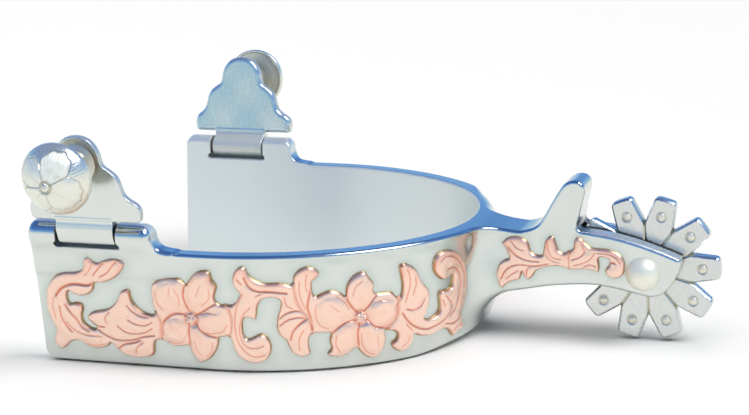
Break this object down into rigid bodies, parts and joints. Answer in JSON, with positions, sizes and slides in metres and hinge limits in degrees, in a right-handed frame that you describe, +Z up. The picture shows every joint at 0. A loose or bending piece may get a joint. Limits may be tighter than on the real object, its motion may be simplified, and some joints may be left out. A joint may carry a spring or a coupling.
{
  "type": "western spur",
  "caption": "Western spur with a U-shaped heel band, swinging strap-button hangers, a shank with a chap guard, a spinning toothed rowel and copper floral overlays.",
  "frame": {"origin": "midway between the front of the heel band and the back of the rowel, on the middle plane, level with the band's flat lower edge", "axes": "+X runs back along the shank towards the rowel, +Y points to the rider's right, +Z is up"},
  "size_m": [0.1398, 0.1236, 0.0515],
  "materials": {
    "polished_steel": "polished stainless steel with fine polishing lines",
    "rowel_steel": "satin stainless steel",
    "rowel_stud": "polished, faintly yellowed",
    "pearl_steel": "pearl satin silver",
    "pin_steel": "plain drawn steel",
    "button_silver": "engraved German silver",
    "copper": "engraved copper with darkened edges"
  },
  "bodies": {
    "spur_frame": {"heel_band": "polished_steel", "shank": "polished_steel", "rowel_pin": "pearl_steel", "rowel_pin_cap": "pearl_steel", "left_hinge_pin": "pin_steel", "right_hinge_pin": "pin_steel", "left_front_scroll": "copper", "left_front_flower": "copper", "left_middle_scroll": "copper", "left_rear_flower": "copper", "left_rear_scroll": "copper", "left_shank_leaf": "copper", "left_shank_scroll": "copper", "right_front_scroll": "copper", "right_front_flower": "copper", "right_middle_scroll": "copper", "right_rear_flower": "copper", "right_rear_scroll": "copper", "right_shank_leaf": "copper", "right_shank_scroll": "copper"},
    "rowel": {"rowel": "rowel_steel", "rowel_studs": "rowel_stud"},
    "left_hanger": {"left_button_hanger": "polished_steel", "left_button_post": "button_silver", "left_button_back": "button_silver", "left_button_cap": "button_silver"},
    "right_hanger": {"right_button_hanger": "polished_steel", "right_button_post": "button_silver", "right_button_back": "button_silver", "right_button_cap": "button_silver"}
  },
  "joints": [
    {"name": "rowel_spin", "type": "hinge", "parent": "spur_frame", "child": "rowel", "pos_m": [0.05405, 0, 0.0158], "axis": [0, 1, 0], "continuous": true},
    {"name": "left_hanger_swing", "type": "hinge", "parent": "spur_frame", "child": "left_hanger", "pos_m": [-0.05595, -0.0432, 0.0292], "axis": [1, 0, 0], "range_deg": [-90, 70]},
    {"name": "right_hanger_swing", "type": "hinge", "parent": "spur_frame", "child": "right_hanger", "pos_m": [-0.05595, 0.0432, 0.0292], "axis": [-1, 0, 0], "range_deg": [-90, 70]}
  ]
}
